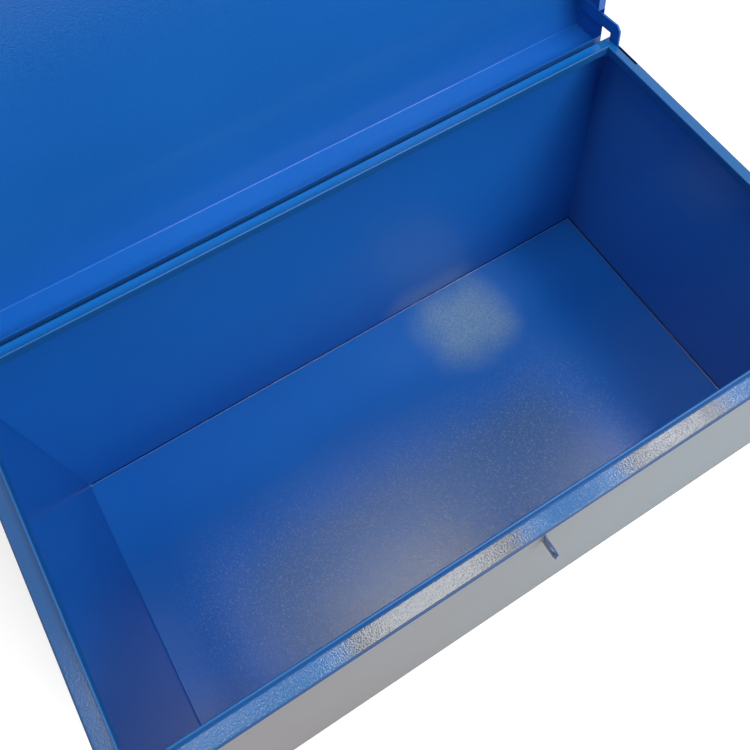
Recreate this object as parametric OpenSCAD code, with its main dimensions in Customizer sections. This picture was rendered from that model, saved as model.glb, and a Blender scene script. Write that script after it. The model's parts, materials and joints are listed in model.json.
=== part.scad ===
// Sheet steel storage chest with a swing-up lid on two cranked hinge arms.
// Millimetres. X runs along the front, Y from front to rear, Z up.
// The origin is the middle of the front wall's foot, on the ground.
// The lid is drawn open, on its stop.

/* [Body] */
// Outer width of the body
body_w = 1000; // [700:10:1400]
// Outer depth of the body
body_d = 540; // [400:10:800]
// Height of the rim's flat top above the ground
body_h = 440; // [320:5:650]
// Thickness of the body sheet
wall_t = 1.5; // [1.2:0.1:2]
// Outside radius of the folds
fold_r = 3; // [2.6:0.1:4]
// Width of the rim, from the outer face to the inside of its lip
rim_w = 26; // [20:0.5:34]
// Height of the turned-up lip above the rim
lip_h = 12; // [8:0.5:20]
// Thickness of the lip, which is folded double
lip_t = 3; // [2.6:0.1:4]
// Width of the flange turned in under the floor
foot_w = 20; // [14:1:40]

/* [Floor] */
// Thickness of the floor sheet
floor_t = 1.5; // [1.2:0.1:3]
// Gap between the floor sheet and the folds at its edges
floor_gap = 0.5; // [0.2:0.1:3]

/* [Lid] */
// Height of the lid's sides
lid_h = 60; // [50:1:80]
// Thickness of the lid sheet
lid_t = 1.5; // [1.2:0.1:2]
// Gap between the closed lid and the rim
lid_gap = 1; // [0.8:0.1:1.6]
// How far the lid's back stands in from the body's back
lid_setback = 3; // [2.5:0.1:5]
// Width of the lid's turned-in edges at the sides
side_return = 13.5; // [10:0.5:17]
// Width of the lid's turned-in edges at the front and back
end_return = 17; // [12:0.5:20]
// Angle that the lid opens to
lid_open = 95; // [92:1:98]

/* [Hinge] */
// Distance of the pivot from the body's back face
pivot_back = 8; // [7.5:0.1:9]
// Depth of the pivot below the rim
pivot_drop = 21; // [20:0.5:23]
// Thickness of a hinge arm
arm_t = 3; // [2:0.5:5]
// Width of the arm's bar
arm_w = 18.5; // [16:0.5:20]
// Distance from the pivot to the arm's front edge, lid closed
arm_reach = 49.5; // [45:0.5:54]
// Depth of the arm's lower edge below the pivot, lid closed
arm_sink = 17.2; // [14:0.1:19]
// Length of the arm that lies on the lid's side
arm_hold = 46; // [30:1:49]
// Size of the cut corner of the arm
arm_cut = 7; // [3:0.5:12]
// Radius of the arm's eye
eye_r = 6; // [5.5:0.1:6]
// Side gap between the arm and what it swings past
arm_clear = 0.3; // [0.2:0.1:0.6]
// Radius of the pivot bolt
bolt_r = 3; // [2.5:0.1:3.2]
// Radial clearance of the arm on its bolt
bolt_clear = 0.05; // [0.02:0.01:0.1]
// Length of the rim slot that the arm swings through
slot_l = 61.5; // [58:0.5:80]
// Gap between the arm and the slot's inner edge
slot_clear = 1; // [0.3:0.1:4]
// Thickness of the bracket that backs the pivot
bracket_t = 3; // [2:0.5:4]
// Length of the bracket's foot under the rim
bracket_foot = 18; // [12:1:22]
// Distance that the bracket reaches forward from the back wall
bracket_reach = 16; // [14:1:24]
// Clearance of the bracket's cut corner from the fold above it
bracket_clear = 0.5; // [0.2:0.1:1.5]
// Thickness of the washer
washer_t = 1.2; // [0.8:0.1:2]
// Thickness of the nut
nut_t = 5; // [3:0.5:6]
// Width of the nut and the bolt head across their flats
hex_w = 10; // [9:0.5:11]
// Thickness of the bolt head
head_t = 4; // [2:0.5:5]

/* [Padlock lugs] */
// Thickness of each lug
lug_t = 2; // [2:0.5:8]
// How far the lugs stand out from the front
lug_out = 25.5; // [23:0.5:45]
// Height of the body's lug
lug_h = 24.5; // [20:0.5:40]
// Distance of the body's lug below the rim
lug_drop = 9; // [5:1:20]
// Sideways place of the body's lug
lug_x = -8; // [-60:0.5:60]
// Gap between the two lugs
lug_gap = 1; // [0.5:0.1:3]
// Radius of the padlock hole
shackle_r = 5.5; // [4:0.5:7]
// Distance from the padlock hole to the lug's tip
shackle_in = 9.5; // [9:0.5:12]
// Depth of the padlock hole below the lug's top edge
shackle_drop = 9; // [8.5:0.5:11]
// Size of the cut corners at the lug's tip
lug_cut = 4.5; // [2:0.5:6]
// Gap between the lid's lug and the body's front
lug_clear = 1.5; // [1:0.1:3]
// Length of the lid's lug on the lid's front
lug_hold = 32; // [20:1:45]

/* [Side handles] */
// Height of the handle's pivot above the ground
handle_z = 300; // [200:5:380]
// Radius of the handle's rod
rod_r = 4; // [3:0.5:6]
// Distance between the handle's two legs
grip_w = 110; // [90:5:160]
// Distance from the pivot down to the grip
grip_drop = 48; // [40:1:80]
// Bend radius of the rod, to its middle
rod_bend = 10; // [7:0.5:16]
// Thickness of the handle's plate and its ears
plate_t = 3; // [2:0.5:5]
// Height of the handle's plate
plate_h = 44; // [34:1:80]
// Distance of the pivot out from the wall
ear_out = 11; // [10:0.5:20]
// Radius of the ears
ear_r = 8; // [6.5:0.5:9]
// Length of the handle's pin past its ear
pin_past = 4; // [1:0.5:8]

/* [Hidden] */
$fn = 48;
half_w = body_w / 2;
// The front wall's foot is flat from its fold to its edge, centred on the origin
front_y = -(fold_r + foot_w) / 2;
mid_y = front_y + body_d / 2;
rear_y = front_y + body_d;
mitre = max(rim_w, foot_w) + 5;
over = 1;
// The two hinge arms turn about this line
pivot_y = rear_y - pivot_back;
pivot_z = body_h - pivot_drop;
// From the wall inwards: arm, bracket, washer, nut
arm_x = half_w - wall_t - arm_clear - arm_t;
bracket_x = arm_x - arm_clear - bracket_t;
washer_x = bracket_x - washer_t;
nut_x = washer_x - nut_t;
thread_past = 2;
lid_half = arm_x + arm_t + lid_t;
lid_z = body_h + lid_gap;
slot_end = rear_y - wall_t - fold_r;
slot_in = arm_x - slot_clear;
hex_r = hex_w / 2 / cos(30);
washer_r = hex_r + 0.5;
lug_tip = front_y - lug_out;
lug_top = body_h - lug_drop;
lug_low = lug_top - lug_h;
lid_lug_x = lug_x + lug_t + lug_gap;
shackle_y = lug_tip + shackle_in;
shackle_z = lug_top - shackle_drop;
ear_y = grip_w / 2 + rod_bend + 0.5;
plate_w = 2 * (ear_y + plate_t + pin_past + 4);
blue = [0.10, 0.37, 0.70];
grey = [0.62, 0.65, 0.66];
zinc = [0.72, 0.74, 0.76];

// A rectangle with four round corners, its lowest corner at the origin
module round_rect(w, h, r) {
  translate([r, 0]) square([w - 2 * r, h]);
  translate([0, r]) square([w, h - 2 * r]);
  for (x = [r, w - r], y = [r, h - r]) translate([x, y]) circle(r);
}

// Draws a profile in the YZ plane and pulls it along X, centred
module along_x(length) {
  rotate([90, 0, 90]) linear_extrude(length, center = true) children();
}

module along_y(length) {
  rotate([90, 0, 0]) linear_extrude(length, center = true) children();
}

// Mirrors what stands on the right to the left
module to_left() {
  mirror([1, 0, 0]) children();
}

module both_sides() {
  children();
  to_left() children();
}

// ---- body ----

// Section of a wall: the sheet, the rim at its top and the foot at its base
module wall_profile() {
  inner_r = fold_r - wall_t;
  difference() {
    intersection() {
      round_rect(2 * mitre, body_h, fold_r);
      square([rim_w - lip_t / 2, body_h]);
    }
    translate([wall_t, wall_t]) round_rect(2 * mitre, body_h - 2 * wall_t, inner_r);
    translate([foot_w, -over]) square([mitre, wall_t + 2 * over]);
  }
  lip_profile();
}

// The lip: a hem that stands on the rim's inner edge, with a round top
module lip_profile() {
  lip_x = rim_w - lip_t;
  low = body_h - wall_t;
  round_top = body_h + lip_h - lip_t / 2;
  difference() {
    translate([lip_x, low]) square([lip_t, round_top - low]);
    difference() {
      translate([rim_w - lip_t / 2, low]) square(lip_t / 2);
      translate([rim_w - lip_t / 2, low + lip_t / 2]) circle(lip_t / 2);
    }
  }
  translate([rim_w - lip_t / 2, round_top]) circle(lip_t / 2);
}

// One wall, its outer face on the XZ plane and its corners cut to 45 degrees
module folded_wall(length) {
  intersection() {
    along_x(length) wall_profile();
    linear_extrude(body_h + lip_h + over)
      polygon([[-length / 2, 0], [length / 2, 0],
        [length / 2 - mitre, mitre], [-length / 2 + mitre, mitre]]);
  }
}

module front_wall() {
  color(grey) translate([0, front_y, 0]) folded_wall(body_w);
}

module rear_wall() {
  color(blue) translate([0, rear_y, 0]) rotate(180) folded_wall(body_w);
}

// The right wall, with the slot in its rim and the hole for the pivot bolt
module side_wall() {
  color(blue) difference() {
    translate([half_w, mid_y, 0]) rotate(90) folded_wall(body_d);
    translate([slot_in, slot_end - slot_l, body_h - fold_r])
      cube([half_w - wall_t - slot_in, slot_l, fold_r + over]);
    pivot_bore(half_w - wall_t - over, half_w + over);
  }
}

module left_wall() {
  to_left() side_wall();
}

module right_wall() {
  side_wall();
}

// The floor lies on the feet of the walls
module floor_panel() {
  edge = fold_r + floor_gap;
  color(blue) translate([edge - half_w, edge + front_y, wall_t])
    cube([body_w - 2 * edge, body_d - 2 * edge, floor_t]);
}

// ---- hinge ----

// A hole for the pivot bolt, from one X to another
module pivot_bore(x0, x1) {
  translate([x0, pivot_y, pivot_z]) rotate([0, 90, 0])
    cylinder(h = x1 - x0, r = bolt_r + bolt_clear);
}

// An angle under the rim that backs the inner end of the bolt
module hinge_bracket() {
  front = rear_y - wall_t - bracket_reach;
  low = pivot_z - eye_r - 1;
  under_rim = body_h - wall_t;
  corner = fold_r - wall_t + bracket_clear;
  color(blue) difference() {
    union() {
      translate([bracket_x, front, low])
        cube([bracket_t, bracket_reach, under_rim - low]);
      translate([bracket_x + bracket_t - bracket_foot, front, under_rim - bracket_t])
        cube([bracket_foot, bracket_reach, bracket_t]);
    }
    // The corner towards the fold of the back wall is cut away
    translate([bracket_x - bracket_foot, front + bracket_reach - corner, under_rim - corner])
      cube([2 * bracket_foot, corner + over, corner + over]);
    pivot_bore(bracket_x - over, bracket_x + bracket_t + over);
  }
}

module left_hinge_bracket() {
  to_left() hinge_bracket();
}

module right_hinge_bracket() {
  hinge_bracket();
}

module hinge_bolts() {
  color(zinc) both_sides() translate([0, pivot_y, pivot_z]) rotate([0, 90, 0]) {
    translate([0, 0, nut_x - thread_past])
      cylinder(h = half_w - nut_x + thread_past, r = bolt_r);
    translate([0, 0, half_w]) cylinder(h = head_t, r = hex_r, $fn = 6);
  }
}

// A ring on the bolt, held clear of its thread by the bolt's clearance
module ring(x, thick, outer_r, sides) {
  translate([x, pivot_y, pivot_z]) rotate([0, 90, 0]) difference() {
    cylinder(h = thick, r = outer_r, $fn = sides);
    translate([0, 0, -over]) cylinder(h = thick + 2 * over, r = bolt_r + bolt_clear);
  }
}

module hinge_washers() {
  color(blue) both_sides() ring(washer_x, washer_t, washer_r, $fn);
}

module hinge_nuts() {
  color(blue) both_sides() ring(nut_x, nut_t, hex_r, 6);
}

// Turns what is drawn with the lid closed into the open pose
module swing_open() {
  translate([0, pivot_y, pivot_z]) rotate([-lid_open, 0, 0])
    translate([0, -pivot_y, -pivot_z]) children();
}

// The arm as it lies with the lid closed: from the pivot forward, then up
module hinge_arm() {
  top = pivot_drop + lid_gap + arm_hold;
  inner = -arm_reach + arm_w;
  color(blue) swing_open() difference() {
    translate([arm_x + arm_t / 2, pivot_y, pivot_z]) {
      along_x(arm_t)
        polygon([[0, -arm_sink], [arm_cut - arm_reach, -arm_sink],
          [-arm_reach, arm_cut - arm_sink], [-arm_reach, top], [inner, top],
          [inner, arm_w - arm_sink], [0, arm_w - arm_sink]]);
      along_x(arm_t) circle(eye_r);
    }
    pivot_bore(arm_x - over, arm_x + arm_t + over);
  }
}

module left_hinge_arm() {
  to_left() hinge_arm();
}

module right_hinge_arm() {
  hinge_arm();
}

// ---- lid ----

// A tray of the lid's outline, smaller all round by inset
module lid_block(inset) {
  deep = body_d - lid_setback - 2 * inset;
  wide = 2 * (lid_half - inset);
  high = lid_h - 2 * inset;
  radius = fold_r - inset;
  intersection() {
    translate([0, inset + front_y, lid_z + inset]) along_x(wide)
      round_rect(deep, high, radius);
    translate([0, 0, lid_z + inset]) along_y(4 * body_d)
      translate([-wide / 2, 0]) round_rect(wide, high, radius);
  }
}

module lid_pan() {
  rear = rear_y - lid_setback;
  mouth_w = 2 * (lid_half - side_return);
  color(blue) swing_open() difference() {
    lid_block(0);
    lid_block(lid_t);
    translate([-mouth_w / 2, end_return + front_y, lid_z - over])
      cube([mouth_w, rear - front_y - 2 * end_return, lid_t + 2 * over]);
    // The side edges stop short of the rear corners, where the arms pass
    both_sides() translate([mouth_w / 2 - over, slot_end - slot_l, lid_z - over])
      cube([side_return - lid_t + over, rear - end_return - slot_end + slot_l,
        fold_r + over]);
  }
}

// ---- padlock lugs ----

module shackle_bore() {
  translate([0, shackle_y, shackle_z]) rotate([0, 90, 0])
    cylinder(h = 4 * body_w, r = shackle_r, center = true);
}

// A flat bar on edge that stands out from the front wall
module body_lug() {
  color(blue) difference() {
    translate([lug_x, 0, 0]) along_x(lug_t)
      polygon([[front_y, lug_low], [front_y, lug_top], [lug_tip + lug_cut, lug_top],
        [lug_tip, lug_top - lug_cut], [lug_tip, lug_low + lug_cut],
        [lug_tip + lug_cut, lug_low]]);
    shackle_bore();
  }
}

// Its partner on the lid, which hangs beside it when the lid is closed
module lid_lug() {
  root = front_y - lug_clear;
  top = lid_z + fold_r + lug_hold;
  color(blue) swing_open() difference() {
    translate([lid_lug_x, 0, 0]) along_x(lug_t)
      polygon([[front_y, lid_z + fold_r], [front_y, top], [root - lug_cut, top],
        [lug_tip, body_h], [lug_tip, lug_low + lug_cut], [lug_tip + lug_cut, lug_low],
        [root, lug_low], [root, lid_z + fold_r]]);
    shackle_bore();
  }
}

// ---- side handles ----

// A plate on the wall with two ears that hold the handle's pins
module handle_plate() {
  drop = plate_h - ear_r - plate_t;
  color(blue) translate([half_w, mid_y, handle_z]) difference() {
    union() {
      rotate([90, 0, 90]) linear_extrude(plate_t)
        translate([-plate_w / 2, -drop]) round_rect(plate_w, plate_h, plate_t);
      for (side = [-1, 1]) translate([0, side * (ear_y + plate_t / 2), 0])
        along_y(plate_t) {
          translate([0, -ear_r]) square([ear_out, 2 * ear_r]);
          translate([ear_out, 0]) circle(ear_r);
        }
    }
    translate([ear_out, 0, 0]) rotate([90, 0, 0])
      cylinder(h = 2 * plate_w, r = rod_r + bolt_clear, center = true);
  }
}

module left_handle_plate() {
  to_left() handle_plate();
}

module right_handle_plate() {
  handle_plate();
}

// A quarter bend of the rod in the YZ plane, about the given centre
module rod_corner(y, z, turn) {
  translate([0, y, z]) rotate([90, 0, 90]) rotate(turn)
    rotate_extrude(angle = 90) translate([rod_bend, 0]) circle(rod_r);
}

// A rod bent to a U, with its ends turned out into the ears
module handle_bail() {
  leg_y = grip_w / 2;
  leg_l = grip_drop - 2 * rod_bend;
  pin_end = ear_y + plate_t + pin_past;
  bend_y = leg_y - rod_bend;
  color(blue) translate([half_w + ear_out, mid_y, handle_z]) {
    for (side = [0, 1]) mirror([0, side, 0]) {
      translate([0, leg_y + rod_bend, 0]) rotate([-90, 0, 0])
        cylinder(h = pin_end - leg_y - rod_bend, r = rod_r);
      rod_corner(leg_y + rod_bend, -rod_bend, 90);
      translate([0, leg_y, -rod_bend - leg_l]) cylinder(h = leg_l, r = rod_r);
      rod_corner(bend_y, rod_bend - grip_drop, 270);
    }
    translate([0, 0, -grip_drop]) rotate([90, 0, 0])
      cylinder(h = 2 * bend_y, r = rod_r, center = true);
  }
}

module left_handle_bail() {
  to_left() handle_bail();
}

module right_handle_bail() {
  handle_bail();
}

front_wall();
rear_wall();
left_wall();
right_wall();
floor_panel();
left_hinge_bracket();
right_hinge_bracket();
hinge_bolts();
hinge_washers();
hinge_nuts();
body_lug();
lid_pan();
left_hinge_arm();
right_hinge_arm();
lid_lug();
left_handle_plate();
right_handle_plate();
left_handle_bail();
right_handle_bail();
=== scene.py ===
import json
import math
import bpy
from mathutils import Matrix, Vector


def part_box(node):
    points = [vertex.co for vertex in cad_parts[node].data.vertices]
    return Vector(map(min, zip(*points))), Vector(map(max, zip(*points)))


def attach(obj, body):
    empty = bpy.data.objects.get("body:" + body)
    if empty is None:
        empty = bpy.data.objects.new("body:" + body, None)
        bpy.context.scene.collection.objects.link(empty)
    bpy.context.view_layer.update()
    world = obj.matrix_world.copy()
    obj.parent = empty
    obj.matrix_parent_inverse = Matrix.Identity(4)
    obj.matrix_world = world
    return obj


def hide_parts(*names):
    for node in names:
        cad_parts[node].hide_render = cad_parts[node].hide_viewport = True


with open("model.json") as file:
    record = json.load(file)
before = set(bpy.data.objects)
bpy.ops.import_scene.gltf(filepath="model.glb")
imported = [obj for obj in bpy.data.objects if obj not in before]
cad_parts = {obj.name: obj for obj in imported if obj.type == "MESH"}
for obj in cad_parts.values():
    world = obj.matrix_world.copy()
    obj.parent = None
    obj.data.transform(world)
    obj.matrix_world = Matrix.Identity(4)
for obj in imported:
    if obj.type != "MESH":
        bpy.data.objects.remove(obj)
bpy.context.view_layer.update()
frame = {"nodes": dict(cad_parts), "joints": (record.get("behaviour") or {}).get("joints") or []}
print("stage: frame loaded,", len(frame["nodes"]), "nodes")

# Places that the rest of the script works from, in metres
frontLow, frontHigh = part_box("front_wall")
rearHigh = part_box("rear_wall")[1]
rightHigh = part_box("right_wall")[1]
floorLow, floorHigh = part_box("floor_panel")
lugLow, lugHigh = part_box("body_lug")
bodyLow = Vector((-rightHigh.x, frontLow.y, 0))
bodyHigh = Vector((rightHigh.x, rearHigh.y, frontHigh.z))
bodyMid = (bodyLow + bodyHigh) / 2
lugDrop = 0.009  # from the rim's flat down to the lug
rimTop = lugHigh.z + lugDrop
sheet = 0.0015  # thickness of the body sheet
rimWidth = 0.026  # from the outer face to the inside of the lip
joints = {joint["name"]: joint for joint in frame["joints"]}
pivot = Vector(joints["lid_close"]["pos_m"])
lidTurn = math.radians(-joints["lid_close"]["range_deg"][1])
toOpen = Matrix.Translation(pivot) @ Matrix.Rotation(lidTurn, 4, "X") @ Matrix.Translation(-pivot)


# Node helpers: each takes numbers, tuples or sockets and returns a socket
def addNode(tree, kind, **settings):
    node = tree.nodes.new(kind)
    spot = len(tree.nodes)
    node.location = (200 * (spot % 10), -260 * (spot // 10))
    for key, value in settings.items():
        setattr(node, key, value)
    return node


def feed(tree, socket, value):
    if isinstance(value, bpy.types.NodeSocket):
        tree.links.new(value, socket)
    elif socket.type == "RGBA":
        socket.default_value = (*value, 1)
    else:
        socket.default_value = value


def calc(tree, operation, first, second=0.0):
    node = addNode(tree, "ShaderNodeMath", operation=operation)
    feed(tree, node.inputs[0], first)
    feed(tree, node.inputs[1], second)
    return node.outputs["Value"]


def vectorCalc(tree, operation, first, second=(0, 0, 0), output="Vector"):
    node = addNode(tree, "ShaderNodeVectorMath", operation=operation)
    feed(tree, node.inputs[0], first)
    feed(tree, node.inputs[1], second)
    return node.outputs[output]


def noise(tree, coords, scale, detail=2.0, roughness=0.5):
    node = addNode(tree, "ShaderNodeTexNoise")
    node.inputs["Scale"].default_value = scale
    node.inputs["Detail"].default_value = detail
    node.inputs["Roughness"].default_value = roughness
    feed(tree, node.inputs["Vector"], coords)
    return node.outputs["Fac"]


def spread(tree, value, low, high, toLow=0.0, toHigh=1.0, shape="LINEAR"):
    node = addNode(tree, "ShaderNodeMapRange", interpolation_type=shape)
    feed(tree, node.inputs["Value"], value)
    node.inputs["From Min"].default_value = low
    node.inputs["From Max"].default_value = high
    node.inputs["To Min"].default_value = toLow
    node.inputs["To Max"].default_value = toHigh
    return node.outputs["Result"]


def blend(tree, factor, first, second):
    node = addNode(tree, "ShaderNodeMix", data_type="RGBA")
    feed(tree, node.inputs["Factor"], factor)
    feed(tree, node.inputs[6], first)  # 6, 7 and output 2 are its colour sockets
    feed(tree, node.inputs[7], second)
    return node.outputs[2]


# 1 inside a box, falling to 0 over its soft and slightly ragged edge
def boxMask(tree, coords, zone):
    away = vectorCalc(tree, "SUBTRACT", coords, zone["centre"])
    away = vectorCalc(tree, "ABSOLUTE", away)
    away = vectorCalc(tree, "SUBTRACT", away, zone["half"])
    away = vectorCalc(tree, "MAXIMUM", away)
    distance = vectorCalc(tree, "LENGTH", away, output="Value")
    wander = noise(tree, coords, zone["raggedScale"], detail=3)
    wander = calc(tree, "MULTIPLY", calc(tree, "SUBTRACT", wander, 0.5), zone["ragged"])
    distance = calc(tree, "ADD", distance, wander)
    return spread(tree, distance, 0, zone["soft"], zone["strength"], 0, "SMOOTHSTEP")


def newMaterial(name):
    material = bpy.data.materials.new(name)
    material.use_nodes = True
    tree = material.node_tree
    tree.nodes.clear()
    out = addNode(tree, "ShaderNodeOutputMaterial")
    shader = addNode(tree, "ShaderNodeBsdfPrincipled")
    tree.links.new(shader.outputs["BSDF"], out.inputs["Surface"])
    coords = addNode(tree, "ShaderNodeTexCoord").outputs["Object"]
    return material, tree, shader, coords


# Semi-gloss powder coat with a fine grain
blueCoat = {
    "colour": (0.0100, 0.130, 0.490),
    "colourLight": (0.0120, 0.147, 0.530),
    "toneScale": 3.1,
    "toneFrom": 0.35,
    "toneTo": 0.65,
    "grainScale": 500,
    "grainDetail": 1.5,
    "grainCoarse": 0.6,
    "grainFrom": 0.45,
    "grainTo": 0.70,
    "grainColour": (0.020, 0.170, 0.560),
    "grainAmount": 0.25,
    "roughFrom": 0.38,
    "roughTo": 0.62,
    "roughLow": 0.12,
    "roughHigh": 0.26,
    "mattRough": 0.6,
    "specular": 0.35,
    "grainHeight": 0.0002,
    "peelScale": 150,
    "peelHeight": 0.0003,
    "peelStrength": 0.15,
}
# The floor sheet is duller, the walls and their rims glossier
floorLook = dict(blueCoat, specular=0.30, roughLow=0.08, roughHigh=0.16, grainHeight=0.00026)
wallLook = dict(
    blueCoat, specular=0.48, roughLow=0.07, roughHigh=0.14, grainHeight=0.00017, mattRough=0.62)
# The body's lug is coloured a darker, greyer blue than the rest
lugLook = dict(blueCoat, colour=(0.022, 0.072, 0.215), colourLight=(0.030, 0.086, 0.245))
# Light grey coat outside, up to the paint edge under the rim
greyCoat = {
    "warm": (0.205, 0.195, 0.205),
    "cool": (0.214, 0.256, 0.290),
    "warmFrom": -0.2,
    "warmTo": 0.35,
    "warmScale": 4,
    "warmWander": 0.3,
    "calm": 0.9,
    "paintDrop": 0.0065,
    # painted highlight: a pale line along the top of the grey, just below the paint edge
    "highlightLineWidth": 0.0009,
    "highlightLineColour": (0.46, 0.52, 0.56),
    # painted shade: a darker blue on the band from the rim's flat down to the paint edge
    "foldShadeColour": (0.003, 0.052, 0.175),
    "foldDrop": 0.0001,
    "skin": 0.0012,
    # painted light: the right wall's faces are coloured a lighter blue in place of light on its inner face
    "rightLitSkin": 0.0021,
    "rightLightingColour": (0.034, 0.190, 0.540),
}
# Painted shade in the seam between the floor and the walls
seamShade = {"height": 0.0045, "colour": (0.001, 0.032, 0.180)}
# Painted highlight: a thin light line along the rear and right edges of the floor sheet
floorEdgeHighlight = {"width": 0.0011, "colour": (0.110, 0.290, 0.780), "rightLightingColour": (0.120, 0.130, 0.160)}
# Painted reflection of the lamps: dull greyish glare patches, broken up in specks
glintSpecks = {"scale": 520, "coarse": 0.6, "from": 0.42, "to": 0.60, "low": 0.65, "high": 1.35}
floorGlare = (
    {
        "colour": (0.050, 0.118, 0.160), "centre": (-0.050, 0.100, floorHigh.z),
        "half": (0.240, 0.105, 0.010), "soft": 0.120, "ragged": 0.060, "raggedScale": 7, "strength": 0.45,
    },
    {
        "colour": (0.215, 0.205, 0.195), "centre": (-0.140, 0.060, floorHigh.z),
        "half": (0.080, 0.020, 0.010), "soft": 0.130, "ragged": 0.060, "raggedScale": 12, "strength": 0.44,
    },
    {
        "colour": (0.200, 0.200, 0.180), "centre": (-0.470, 0.060, floorHigh.z),
        "half": (0.020, 0.020, 0.010), "soft": 0.080, "ragged": 0.030, "raggedScale": 16, "strength": 0.20,
    },
    {
        "colour": (0.225, 0.350, 0.430), "centre": (0.205, 0.442, floorHigh.z),
        "half": (0.030, 0.030, 0.010), "soft": 0.080, "ragged": 0.040, "raggedScale": 16, "strength": 0.68,
    },
)
# Painted glints: bright specks of grain around the painted glare on the floor
floorGlints = {
    "centre": (-0.050, 0.130, floorHigh.z), "half": (0.300, 0.090, 0.010),
    "soft": 0.170, "ragged": 0.050, "raggedScale": 9, "strength": 0.5,
    "scale": 500, "from": 0.57, "to": 0.70, "colour": (0.250, 0.340, 0.500),
}
# Painted reflection of a lamp low on the rear wall
wallGlare = (
    {
        "colour": (0.300, 0.410, 0.560), "centre": (0.175, rearHigh.y, 0.006),
        "half": (0.045, 0.010, 0.006), "soft": 0.065, "ragged": 0.020, "raggedScale": 18, "strength": 0.34,
    },
)
# The rim is given painted light and shade: its flat a colour for each side for how light falls on it,
# painted glints along the front and, at two places along the front, painted grey glare of the lamps, and
# painted shade on the lip
rimFinishAndLight = {
    # painted light and shade: a colour for each side of the rim's flat
    "flatFrom": 0.0022, "flatTo": 0.0210, "strength": 0.9, "frontLightingColour": (0.012, 0.125, 0.345),
    "leftLightingColour": (0.005, 0.078, 0.245), "rightLightingColour": (0.007, 0.115, 0.330),
    "rearLightingColour": (0.007, 0.158, 0.500),
    # painted glints: light flecks along the front rim's flat
    "glintFrom": 0.55, "glintTo": 0.66, "glintColour": (0.140, 0.210, 0.310),
    # painted shade: a darker blue on the lip
    "skin": 0.001, "foldCalm": 0.7, "lipShadeColour": (0.004, 0.098, 0.320),
    # painted glare of the lamps at two places along the front rim
    "lampGlareColour": (0.055, 0.058, 0.070),
    "lampGlare": (
        {
            "centre": (-0.140, 0, rimTop), "half": (0.085, 0.030, 0.010),
            "soft": 0.045, "ragged": 0.020, "raggedScale": 40, "strength": 0.90,
        },
        {
            "centre": (0.180, 0, rimTop), "half": (0.050, 0.030, 0.010),
            "soft": 0.045, "ragged": 0.020, "raggedScale": 40, "strength": 0.85,
        },
    ),
}


# calm runs from 0, the full grain, to 1, smooth and matt
def coatSurface(tree, shader, coords, look, calm=0.0):
    tone = spread(tree, noise(tree, coords, look["toneScale"], detail=3), look["toneFrom"], look["toneTo"])
    colour = blend(tree, tone, look["colour"], look["colourLight"])
    grain = noise(tree, coords, look["grainScale"], look["grainDetail"], look["grainCoarse"])
    fleck = spread(tree, grain, look["grainFrom"], look["grainTo"], 0, look["grainAmount"])
    colour = blend(tree, fleck, colour, look["grainColour"])
    rough = spread(
        tree, grain, look["roughFrom"], look["roughTo"], look["roughLow"], look["roughHigh"])
    matt = addNode(tree, "ShaderNodeMix", data_type="FLOAT")
    feed(tree, matt.inputs["Factor"], calm)
    feed(tree, matt.inputs[2], rough)  # 2, 3 and output 0 are its number sockets
    matt.inputs[3].default_value = look["mattRough"]
    feed(tree, shader.inputs["Roughness"], matt.outputs[0])
    keep = calc(tree, "SUBTRACT", 1, calm)
    peel = addNode(tree, "ShaderNodeBump")
    peel.inputs["Strength"].default_value = look["peelStrength"]
    peel.inputs["Distance"].default_value = look["peelHeight"]
    waves = noise(tree, coords, look["peelScale"])
    feed(tree, peel.inputs["Height"], calc(tree, "MULTIPLY", waves, keep))
    bump = addNode(tree, "ShaderNodeBump")
    bump.inputs["Strength"].default_value = 1
    bump.inputs["Distance"].default_value = look["grainHeight"]
    feed(tree, bump.inputs["Height"], calc(tree, "MULTIPLY", grain, keep))
    feed(tree, bump.inputs["Normal"], peel.outputs["Normal"])
    feed(tree, shader.inputs["Normal"], bump.outputs["Normal"])
    shader.inputs["Specular IOR Level"].default_value = look["specular"]
    return colour


# Paints glare patches, the lamps' reflection, broken up in specks
def addPaintedGlare(tree, coords, colour, zones):
    specks = noise(tree, coords, glintSpecks["scale"], roughness=glintSpecks["coarse"])
    specks = spread(
        tree, specks, glintSpecks["from"], glintSpecks["to"], glintSpecks["low"], glintSpecks["high"])
    for zone in zones:
        glareMask = calc(tree, "MULTIPLY", boxMask(tree, coords, zone), specks)
        colour = blend(tree, glareMask, colour, zone["colour"])
    return colour


def makeBlue(name, look):
    material, tree, shader, coords = newMaterial(name)
    feed(tree, shader.inputs["Base Color"], coatSurface(tree, shader, coords, look))
    return material


def makeFloorCoat(name, look, edge):
    material, tree, shader, coords = newMaterial(name)
    colour = coatSurface(tree, shader, coords, look)
    # Painted glare of the lamps on the floor
    colour = addPaintedGlare(tree, coords, colour, floorGlare)
    # Painted glints around the glare on the floor
    floorGlintMask = noise(tree, coords, floorGlints["scale"], detail=1)
    floorGlintMask = spread(tree, floorGlintMask, floorGlints["from"], floorGlints["to"])
    floorGlintMask = calc(tree, "MULTIPLY", floorGlintMask, boxMask(tree, coords, floorGlints))
    colour = blend(tree, floorGlintMask, colour, floorGlints["colour"])
    # Painted highlight along the floor sheet's rear and right edges
    split = addNode(tree, "ShaderNodeSeparateXYZ")
    feed(tree, split.inputs[0], coords)
    rear = calc(tree, "GREATER_THAN", split.outputs["Y"], floorHigh.y - edge["width"])
    right = calc(tree, "GREATER_THAN", split.outputs["X"], floorHigh.x - edge["width"])
    colour = blend(tree, rear, colour, edge["colour"])
    colour = blend(tree, right, colour, edge["rightLightingColour"])
    feed(tree, shader.inputs["Base Color"], colour)
    return material


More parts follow.
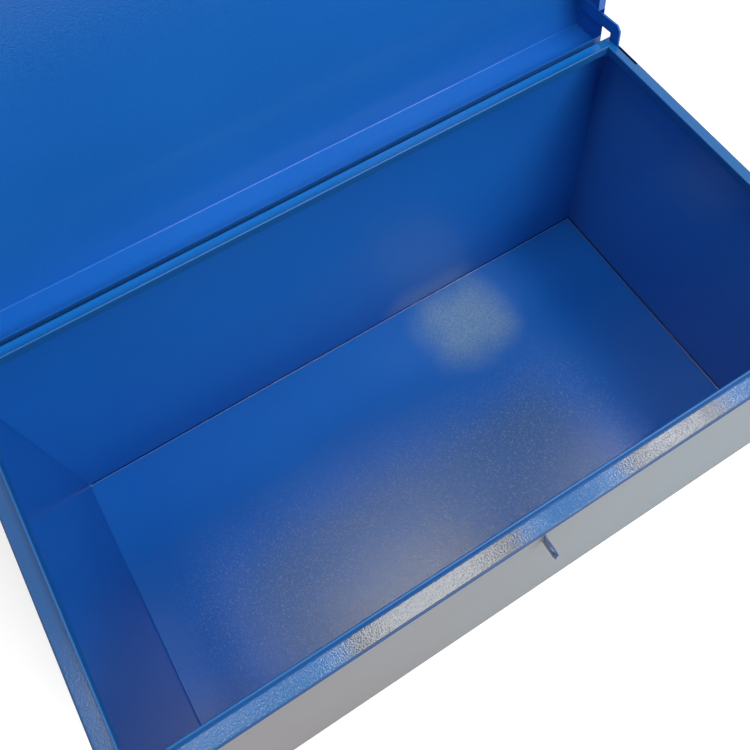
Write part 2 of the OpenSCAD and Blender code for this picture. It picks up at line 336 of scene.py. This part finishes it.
# How far a point of the walls is from the nearest outer face
def edgeDistance(tree, across, along):
    fromEdge = calc(tree, "SUBTRACT", bodyHigh.x, calc(tree, "ABSOLUTE", across))
    fromEdge = calc(tree, "MINIMUM", fromEdge, calc(tree, "SUBTRACT", along, bodyLow.y))
    return calc(tree, "MINIMUM", fromEdge, calc(tree, "SUBTRACT", bodyHigh.y, along))


# Paints light and shade on the rim's flat and lip
def paintRimLight(tree, coords, colour, split, fromEdge, look):
    across, along, up = split
    onTop = calc(tree, "GREATER_THAN", up, rimTop - look["skin"])
    flat = calc(tree, "GREATER_THAN", fromEdge, look["flatFrom"])
    flat = calc(tree, "MULTIPLY", flat, calc(tree, "LESS_THAN", fromEdge, look["flatTo"]))
    flat = calc(tree, "MULTIPLY", flat, onTop)
    left = calc(tree, "LESS_THAN", across, bodyLow.x + rimWidth)
    right = calc(tree, "GREATER_THAN", across, bodyHigh.x - rimWidth)
    rimGlints = noise(tree, coords, glintSpecks["scale"], roughness=glintSpecks["coarse"])
    rimGlints = spread(tree, rimGlints, look["glintFrom"], look["glintTo"])
    rear = calc(tree, "GREATER_THAN", along, bodyHigh.y - rimWidth)
    # Painted light and shade: a colour for each side of the rim's flat, with painted glints on the front
    dull = blend(tree, rimGlints, look["frontLightingColour"], look["glintColour"])
    dull = blend(tree, rear, dull, look["rearLightingColour"])
    dull = blend(tree, left, dull, look["leftLightingColour"])
    dull = blend(tree, right, dull, look["rightLightingColour"])
    colour = blend(tree, calc(tree, "MULTIPLY", flat, look["strength"]), colour, dull)
    # Painted glare of the lamps at two places along the front rim
    for zone in look["lampGlare"]:
        lampGlare = calc(tree, "MULTIPLY", boxMask(tree, coords, zone), flat)
        colour = blend(tree, lampGlare, colour, look["lampGlareColour"])
    # Painted shade on the lip
    lipShade = calc(tree, "MULTIPLY", onTop, calc(tree, "GREATER_THAN", fromEdge, look["flatTo"]))
    return blend(tree, lipShade, colour, look["lipShadeColour"])


def makeWallCoat(name, look, grey):
    material, tree, shader, coords = newMaterial(name)
    split = addNode(tree, "ShaderNodeSeparateXYZ")
    feed(tree, split.inputs[0], coords)
    across, along, up = split.outputs
    tests = (
        (across, "LESS_THAN", bodyLow.x + grey["skin"]),
        (across, "GREATER_THAN", bodyHigh.x - grey["skin"]),
        (along, "LESS_THAN", bodyLow.y + grey["skin"]),
        (along, "GREATER_THAN", bodyHigh.y - grey["skin"]),
        (up, "LESS_THAN", grey["skin"]),
    )
    outside = 0.0
    for place, test, limit in tests:
        outside = calc(tree, "MAXIMUM", calc(tree, test, place, limit), outside)
    paintEdge = rimTop - grey["paintDrop"]
    below = calc(tree, "LESS_THAN", up, paintEdge)
    below = calc(tree, "MULTIPLY", below, outside)
    calm = calc(tree, "MULTIPLY", below, grey["calm"])
    fromEdge = edgeDistance(tree, across, along)
    folds = calc(tree, "LESS_THAN", fromEdge, rimFinishAndLight["flatFrom"])
    folds = calc(tree, "MAXIMUM", folds, calc(tree, "GREATER_THAN", fromEdge, rimFinishAndLight["flatTo"]))
    folds = calc(tree, "MULTIPLY", folds, calc(tree, "GREATER_THAN", up, paintEdge))
    calm = calc(tree, "MAXIMUM", calm, calc(tree, "MULTIPLY", folds, rimFinishAndLight["foldCalm"]))
    colour = coatSurface(tree, shader, coords, look, calm)
    # Painted reflection of a lamp on the rear wall
    colour = addPaintedGlare(tree, coords, colour, wallGlare)
    # Painted light: the right wall is coloured a lighter blue in place of light on its inner face
    right = calc(tree, "GREATER_THAN", across, bodyHigh.x - grey["rightLitSkin"])
    colour = blend(tree, right, colour, grey["rightLightingColour"])
    colour = paintRimLight(tree, coords, colour, split.outputs, fromEdge, rimFinishAndLight)
    # Painted shade: the walls' lowest few millimetres are darkened, except on the left
    low = calc(tree, "LESS_THAN", up, seamShade["height"])
    low = calc(tree, "MULTIPLY", low, calc(tree, "GREATER_THAN", across, floorLow.x))
    colour = blend(tree, low, colour, seamShade["colour"])
    # Painted shade on the band from the rim's flat down to the paint edge
    foldShade = calc(tree, "LESS_THAN", up, rimTop - grey["foldDrop"])
    foldShade = calc(tree, "MULTIPLY", foldShade, calc(tree, "GREATER_THAN", up, paintEdge))
    colour = blend(tree, foldShade, colour, grey["foldShadeColour"])
    wander = calc(tree, "MULTIPLY", noise(tree, coords, grey["warmScale"]), grey["warmWander"])
    warmth = calc(tree, "ADD", across, wander)
    greys = blend(tree, spread(tree, warmth, grey["warmFrom"], grey["warmTo"]), grey["warm"], grey["cool"])
    # Painted highlight: a pale line just below the paint edge
    highlightLine = calc(tree, "GREATER_THAN", up, paintEdge - grey["highlightLineWidth"])
    greys = blend(tree, highlightLine, greys, grey["highlightLineColour"])
    feed(tree, shader.inputs["Base Color"], blend(tree, below, colour, greys))
    return material


zincPlate = {
    "colour": (0.55, 0.56, 0.57),
    "dull": (0.40, 0.41, 0.42),
    "spotScale": 260,
    "spotCoarse": 0.6,
    "roughFrom": 0.3,
    "roughTo": 0.7,
    "roughLow": 0.30,
    "roughHigh": 0.45,
}


def makeZinc(name, look):
    material, tree, shader, coords = newMaterial(name)
    spot = noise(tree, coords, look["spotScale"], detail=3, roughness=look["spotCoarse"])
    feed(tree, shader.inputs["Base Color"], blend(tree, spot, look["dull"], look["colour"]))
    rough = spread(tree, spot, look["roughFrom"], look["roughTo"], look["roughLow"], look["roughHigh"])
    feed(tree, shader.inputs["Roughness"], rough)
    shader.inputs["Metallic"].default_value = 1
    return material


blue = makeBlue("bluePowderCoat", blueCoat)
floorCoat = makeFloorCoat("bluePowderCoatFloor", floorLook, floorEdgeHighlight)
wallCoat = makeWallCoat("greyAndBlueCoat", wallLook, greyCoat)
lugCoat = makeBlue("bluePowderCoatLug", lugLook)
zinc = makeZinc("zincPlate", zincPlate)
print("stage: coats made")

# The folded sheets keep their meshes and get fine rounded edges
edgeRound = {
    "width": 0.0004,
    "wallWidth": 0.00012,
    "segments": 2,
    "angle": 35,
    "merge": 0.00001,
    "flatAngle": 0.5,
}
walls = ("front_wall", "rear_wall", "left_wall", "right_wall")
ownCoats = {"floor_panel": floorCoat, "body_lug": lugCoat}


def softenEdges(node, look, width):
    if "custom_normal" in node.data.attributes:
        node.data.attributes.remove(node.data.attributes["custom_normal"])
    node.data.shade_smooth()
    weld = node.modifiers.new("weld", "WELD")
    weld.merge_threshold = look["merge"]
    flat = node.modifiers.new("flatFaces", "DECIMATE")
    flat.decimate_type = "DISSOLVE"
    flat.angle_limit = math.radians(look["flatAngle"])
    edges = node.modifiers.new("edges", "BEVEL")
    edges.width = width
    edges.segments = look["segments"]
    edges.limit_method = "ANGLE"
    edges.angle_limit = math.radians(look["angle"])
    node.modifiers.new("normals", "WEIGHTED_NORMAL")


for name, node in frame["nodes"].items():
    coat = wallCoat if name in walls else ownCoats.get(name, blue)
    node.data.materials.clear()
    node.data.materials.append(coat)
    softenEdges(node, edgeRound, edgeRound["wallWidth"] if name in walls else edgeRound["width"])
print("stage: CAD nodes coated")


# Modelling helpers
def activate(piece):
    bpy.ops.object.select_all(action="DESELECT")
    piece.select_set(True)
    bpy.context.view_layer.objects.active = piece


def applyAll(piece):
    activate(piece)
    for change in list(piece.modifiers):
        bpy.ops.object.modifier_apply(modifier=change.name)
    bpy.ops.object.transform_apply(location=True, rotation=True, scale=True)


def cutWith(piece, tool, operation):
    change = piece.modifiers.new("cut", "BOOLEAN")
    change.operation = operation
    change.solver = "EXACT"
    change.object = tool
    activate(piece)
    bpy.ops.object.modifier_apply(modifier="cut")
    bpy.data.objects.remove(tool)


def joinAll(pieces, name):
    activate(pieces[0])
    for piece in pieces:
        piece.select_set(True)
    bpy.ops.object.join()
    joined = bpy.context.object
    joined.name = name
    return joined


def copyPiece(piece, name, place):
    twin = piece.copy()
    twin.data = piece.data.copy()
    twin.name = name
    bpy.context.collection.objects.link(twin)
    twin.matrix_world = place
    applyAll(twin)
    return twin


# A mirrored copy on the left, its faces turned out again
def mirrorPiece(piece, name):
    twin = copyPiece(piece, name, Matrix.Scale(-1, 4, (1, 0, 0)))
    bpy.ops.object.mode_set(mode="EDIT")
    bpy.ops.mesh.select_all(action="SELECT")
    bpy.ops.mesh.normals_make_consistent(inside=False)
    bpy.ops.object.mode_set(mode="OBJECT")
    return twin


smoothAngle = 32


def dress(piece, material, body):
    piece.data.materials.clear()
    piece.data.materials.append(material)
    activate(piece)
    bpy.ops.object.shade_smooth_by_angle(angle=math.radians(smoothAngle))
    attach(piece, body)


# Hex bolts with a chamfered head and a threaded end, and their nuts
hexes = {
    "slope": 1.75,
    "flatShare": 0.94,
    "pitch": 0.001,
    "threadTurns": 8,
    "threadDepth": 0.88,
    "shankRadius": 0.003,
    "pastNut": 0.002,  # from the nut's inner face to the bolt's end
    "endBevel": 0.12,
    "nutThick": 0.005,
    "nutBore": 0.00305,
    "sides": 48,
}


def makeHex(thick, radius, ends, look):
    bpy.ops.object.select_all(action="DESELECT")
    bpy.ops.mesh.primitive_cylinder_add(vertices=6, radius=radius, depth=thick)
    piece = bpy.context.object
    flat = radius * math.cos(math.radians(30)) * look["flatShare"]  # just inside the hexagon's flats
    for end in ends:
        wide = flat + look["slope"] * thick
        low, high = (wide, flat) if end > 0 else (flat, wide)
        bpy.ops.mesh.primitive_cone_add(
            vertices=look["sides"], radius1=low, radius2=high, depth=thick)
        cutWith(piece, bpy.context.object, "INTERSECT")
    return piece


def makeThread(length, radius, look):
    bpy.ops.mesh.primitive_cylinder_add(
        vertices=look["sides"] // 2, radius=radius, depth=length - look["pitch"] * look["threadTurns"])
    piece = bpy.context.object
    bpy.ops.object.mode_set(mode="EDIT")
    bpy.ops.mesh.select_mode(type="FACE")
    bpy.ops.mesh.select_all(action="DESELECT")
    bpy.ops.object.mode_set(mode="OBJECT")
    for face in piece.data.polygons:
        face.select = face.normal.z < -0.9
    bpy.ops.object.mode_set(mode="EDIT")
    for turn in range(2 * look["threadTurns"]):  # in to the root, then out to the crest
        share = look["threadDepth"] if turn % 2 == 0 else 1 / look["threadDepth"]
        bpy.ops.mesh.extrude_region_move(TRANSFORM_OT_translate={"value": (0, 0, -look["pitch"] / 2)})
        bpy.ops.transform.resize(value=(share, share, 1))
    bpy.ops.mesh.inset(thickness=radius * look["endBevel"])
    bpy.ops.object.mode_set(mode="OBJECT")
    return piece


boltLow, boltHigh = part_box("hinge_bolts")
nutLow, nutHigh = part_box("hinge_nuts")
plateLow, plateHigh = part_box("right_handle_plate")
hexRadius = (boltHigh.z - boltLow.z) / 2
headThick = boltHigh.x - bodyHigh.x
nutThick = hexes["nutThick"]
shankEnd = nutHigh.x - nutThick - hexes["pastNut"]
head = makeHex(headThick, hexRadius, (1,), hexes)
head.location.z = bodyHigh.x + headThick / 2
shank = makeThread(bodyHigh.x - shankEnd, hexes["shankRadius"], hexes)
shank.location.z = (bodyHigh.x + shankEnd + hexes["pitch"] * hexes["threadTurns"]) / 2
upright = Matrix.Translation((0, pivot.y, pivot.z)) @ Matrix.Rotation(math.radians(90), 4, "Y")
boltRight = joinAll([head, shank], "boltRight")
applyAll(boltRight)
boltRight.matrix_world = upright
applyAll(boltRight)
hingeBolts = joinAll([boltRight, mirrorPiece(boltRight, "boltLeft")], "hingeBolts")
dress(hingeBolts, zinc, "chest")
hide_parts("hinge_bolts")

nutRight = makeHex(nutThick, (nutHigh.z - nutLow.z) / 2, (-1, 1), hexes)
bpy.ops.mesh.primitive_cylinder_add(
    vertices=hexes["sides"] // 2, radius=hexes["nutBore"], depth=4 * nutThick)
cutWith(nutRight, bpy.context.object, "DIFFERENCE")
nutRight.location.z = nutHigh.x - nutThick / 2
applyAll(nutRight)
nutRight.matrix_world = upright
applyAll(nutRight)
hingeNuts = joinAll([nutRight, mirrorPiece(nutRight, "nutLeft")], "hingeNuts")
dress(hingeNuts, blue, "chest")
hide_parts("hinge_nuts")
print("stage: bolts and nuts made")

# Short weld beads, one modelled and the rest copied
weld = {
    "length": 0.018,
    "radius": 0.0017,
    "step": 0.0011,
    "swell": 0.08,
    "swellTurn": 2.4,
    "voxel": 0.0004,
    "belowRim": 0.0205,  # at the lug, down from the rim's flat
    "armUpper": 0.0495,  # at the arms, forward from the pivot
    "armLower": 0.0310,
    "armRise": 0.032,  # and up from the rim's flat
    "lidSetback": 0.003,  # from the body's rear face to the closed lid's
    "lidRise": 0.0495,  # in the lid's corners, up from the rim's flat
    "handleSide": 0.045,  # at the handle plates, either way from the middle
}


def makeBead(look):
    blobs = []
    count = int(look["length"] / look["step"])
    for number in range(count):
        along = (number - (count - 1) / 2) * look["step"]
        bulge = 1 + look["swell"] * math.sin(look["swellTurn"] * number)
        bpy.ops.mesh.primitive_ico_sphere_add(
            subdivisions=2, radius=look["radius"] * bulge, location=(along, 0, 0))
        blobs.append(bpy.context.object)
    bead = joinAll(blobs, "weldBead")
    melt = bead.modifiers.new("melt", "REMESH")
    melt.mode = "VOXEL"
    melt.voxel_size = look["voxel"]
    applyAll(bead)
    return bead


# Where each bead lies: name, middle, direction, body, coat; the lid's are given as if it were closed
handleMid = Vector(joints["right_handle_lift"]["pos_m"])
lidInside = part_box("lid_pan")[1].x - sheet
lidFront = bodyLow.y + sheet
lidRear = bodyHigh.y - weld["lidSetback"] - sheet
lidHeight = rimTop + weld["lidRise"]
armHeight = rimTop + weld["armRise"]
beads = []
for side, name in ((-1, "Left"), (1, "Right")):
    lugSide = lugLow.x if side < 0 else lugHigh.x
    lidSide = side * lidInside
    beads += [
        ("weldLug" + name, (lugSide, bodyLow.y, rimTop - weld["belowRim"]), "Z", "chest", wallCoat, False),
        ("weldArmUpper" + name, (lidSide, pivot.y - weld["armUpper"], armHeight), "Z", "lid", blue, True),
        ("weldArmLower" + name, (lidSide, pivot.y - weld["armLower"], armHeight), "Z", "lid", blue, True),
        ("weldLidRear" + name, (lidSide, lidRear, lidHeight), "Z", "lid", blue, True),
        ("weldLidFront" + name, (lidSide, lidFront, lidHeight), "Z", "lid", blue, True),
    ]
    for end, endName in ((-1, "Front"), (1, "Rear")):
        for edge, edgeName in ((plateLow.z, "Low"), (plateHigh.z, "High")):
            middle = (side * bodyHigh.x, handleMid.y + end * weld["handleSide"], edge)
            beads.append(("weldHandle" + name + endName + edgeName, middle, "Y", "chest", blue, False))
turns = {
    "Z": Matrix.Rotation(math.radians(90), 4, "Y"),
    "Y": Matrix.Rotation(math.radians(90), 4, "Z"),
}
beadModel = makeBead(weld)
for name, middle, direction, body, coat, onLid in beads:
    place = Matrix.Translation(middle) @ turns[direction]
    bead = copyPiece(beadModel, name, toOpen @ place if onLid else place)
    dress(bead, coat, body)
bpy.data.objects.remove(beadModel)
print("stage:", len(beads), "weld beads made")

# The left seam is filled and painted over: a strip with a hollow top
seam = {"height": 0.0022, "steps": 6, "endGap": 0.0004}


def makeSeam(look):
    wall = bodyLow.x + sheet
    width = floorLow.x - wall
    front = bodyLow.y + sheet + look["endGap"]
    length = bodyHigh.y - sheet - look["endGap"] - front
    bpy.ops.object.select_all(action="DESELECT")
    bpy.ops.mesh.primitive_circle_add(vertices=2 * look["steps"], fill_type="NGON")
    piece = bpy.context.object
    for number, point in enumerate(piece.data.vertices):
        bend = math.radians(90) * min(number, look["steps"]) / look["steps"]
        out = width * (1 - math.sin(bend))
        rise = look["height"] * (1 - math.cos(bend))
        past = (number - look["steps"]) / look["steps"]
        if number > look["steps"]:
            out, rise = 0, look["height"] * (1 - past)
        point.co = (wall + out, front, floorHigh.z + rise)
    bpy.ops.object.mode_set(mode="EDIT")
    bpy.ops.mesh.select_all(action="SELECT")
    bpy.ops.mesh.extrude_region_move(TRANSFORM_OT_translate={"value": (0, length, 0)})
    bpy.ops.mesh.select_all(action="SELECT")
    bpy.ops.mesh.normals_make_consistent(inside=False)
    bpy.ops.object.mode_set(mode="OBJECT")
    return piece


leftSeam = makeSeam(seam)
leftSeam.name = "leftSeam"
dress(leftSeam, floorCoat, "chest")
print("stage: seam filled")

# Pale floor, soft lamps and the camera
studio = {
    "floorSize": 6.0,
    "floorColour": (0.74, 0.74, 0.74),
    "floorRough": 0.9,
    "floorSpecular": 0.1,
    "floorLift": 0.52,
    "ambient": 0.19,
}
lamps = (
    {
        "name": "lampRim", "place": (0.01, 0.29, 2.4), "aim": (0.01, 0.29, 0),
        "size": (0.62, 0.38), "power": 8.4,
    },
    {
        "name": "lampRimRight", "place": (1.08, 0.29, 2.4), "aim": (1.08, 0.29, 0),
        "size": (0.42, 0.36), "power": 6.5,
    },
    {
        "name": "lampOver", "place": (0.06, 0.74, 2.4), "aim": (0.06, 0.74, 0),
        "size": (0.85, 0.44), "power": 4,
    },
    {
        "name": "lampRight", "place": (0.95, -0.42, 2.4), "aim": (0.50, 0.10, 0),
        "size": (0.45, 0.43), "power": 3,
    },
    {
        "name": "lampLeft", "place": (-0.85, 0.52, 2.4), "aim": (-0.40, 0.50, 0),
        "size": (0.35, 0.50), "power": 2.5,
    },
    {
        "name": "lampHigh", "place": (1.60, -0.60, 5.0), "aim": (0.0, 0.25, 0.2),
        "size": (0.9, 0.9), "power": 24,
    },
    {
        "name": "lampFront", "place": (1.19, -3.31, 3.63), "aim": (0.0, 0.6, 0.4),
        "size": (2.7, 1.7), "power": 150,
    },
    {
        "name": "lampFar", "place": (1.3, -4.0, 2.6), "aim": (0.0, 0.6, 0.6),
        "size": (2.0, 2.0), "power": 22,
    },
)
view = {
    "place": (-0.2098, -0.1282, 1.2869),
    "turn": (25.577, 1.554, -32.262),
    "lens": 38.375,
    "sensor": 36,
    "clipStart": 0.01,
    "shift": (-0.0630, -0.0121),
}


# 1 for the rays that see the background, straight or by reflection
def backgroundRays(tree):
    rays = addNode(tree, "ShaderNodeLightPath")
    seen = calc(tree, "MAXIMUM", rays.outputs["Is Camera Ray"], rays.outputs["Is Glossy Ray"])
    return calc(tree, "MAXIMUM", seen, rays.outputs["Is Transmission Ray"])


def makeFloor(look):
    bpy.ops.object.select_all(action="DESELECT")
    bpy.ops.mesh.primitive_plane_add(size=look["floorSize"], location=(0, bodyMid.y, 0))
    floor = bpy.context.object
    floor.name = "studioFloor"
    material, tree, shader, coords = newMaterial("studioFloor")
    shader.inputs["Base Color"].default_value = (*look["floorColour"], 1)
    shader.inputs["Roughness"].default_value = look["floorRough"]
    shader.inputs["Specular IOR Level"].default_value = look["floorSpecular"]
    shader.inputs["Emission Color"].default_value = (1, 1, 1, 1)
    lift = calc(tree, "MULTIPLY", backgroundRays(tree), look["floorLift"])
    feed(tree, shader.inputs["Emission Strength"], lift)
    floor.data.materials.append(material)


def makeWorld(look):
    world = bpy.data.worlds.new("studio")
    bpy.context.scene.world = world
    world.use_nodes = True
    tree = world.node_tree
    tree.nodes.clear()
    out = addNode(tree, "ShaderNodeOutputWorld")
    background = addNode(tree, "ShaderNodeBackground")
    background.inputs["Color"].default_value = (1, 1, 1, 1)
    level = spread(tree, backgroundRays(tree), 0, 1, look["ambient"], 1)
    feed(tree, background.inputs["Strength"], level)
    tree.links.new(background.outputs["Background"], out.inputs["Surface"])


def makeLamp(look):
    bpy.ops.object.light_add(type="AREA", location=look["place"])
    lamp = bpy.context.object
    lamp.name = look["name"]
    lamp.data.shape = "RECTANGLE"
    lamp.data.size = look["size"][0]
    lamp.data.size_y = look["size"][1]
    lamp.data.energy = look["power"]
    aim = Vector(look["aim"]) - Vector(look["place"])
    lamp.rotation_euler = aim.to_track_quat("-Z", "Y").to_euler()


def makeCamera(look):
    bpy.ops.object.camera_add(location=look["place"])
    camera = bpy.context.object
    camera.rotation_euler = [math.radians(a) for a in look["turn"]]
    camera.data.sensor_width = look["sensor"]
    camera.data.lens = look["lens"]
    camera.data.shift_x = look["shift"][0]
    camera.data.shift_y = look["shift"][1]
    camera.data.clip_start = look["clipStart"]
    bpy.context.scene.camera = camera


makeFloor(studio)
makeWorld(studio)
for lamp in lamps:
    makeLamp(lamp)
makeCamera(view)
bpy.context.scene.view_settings.view_transform = "Standard"
print("stage: studio made")
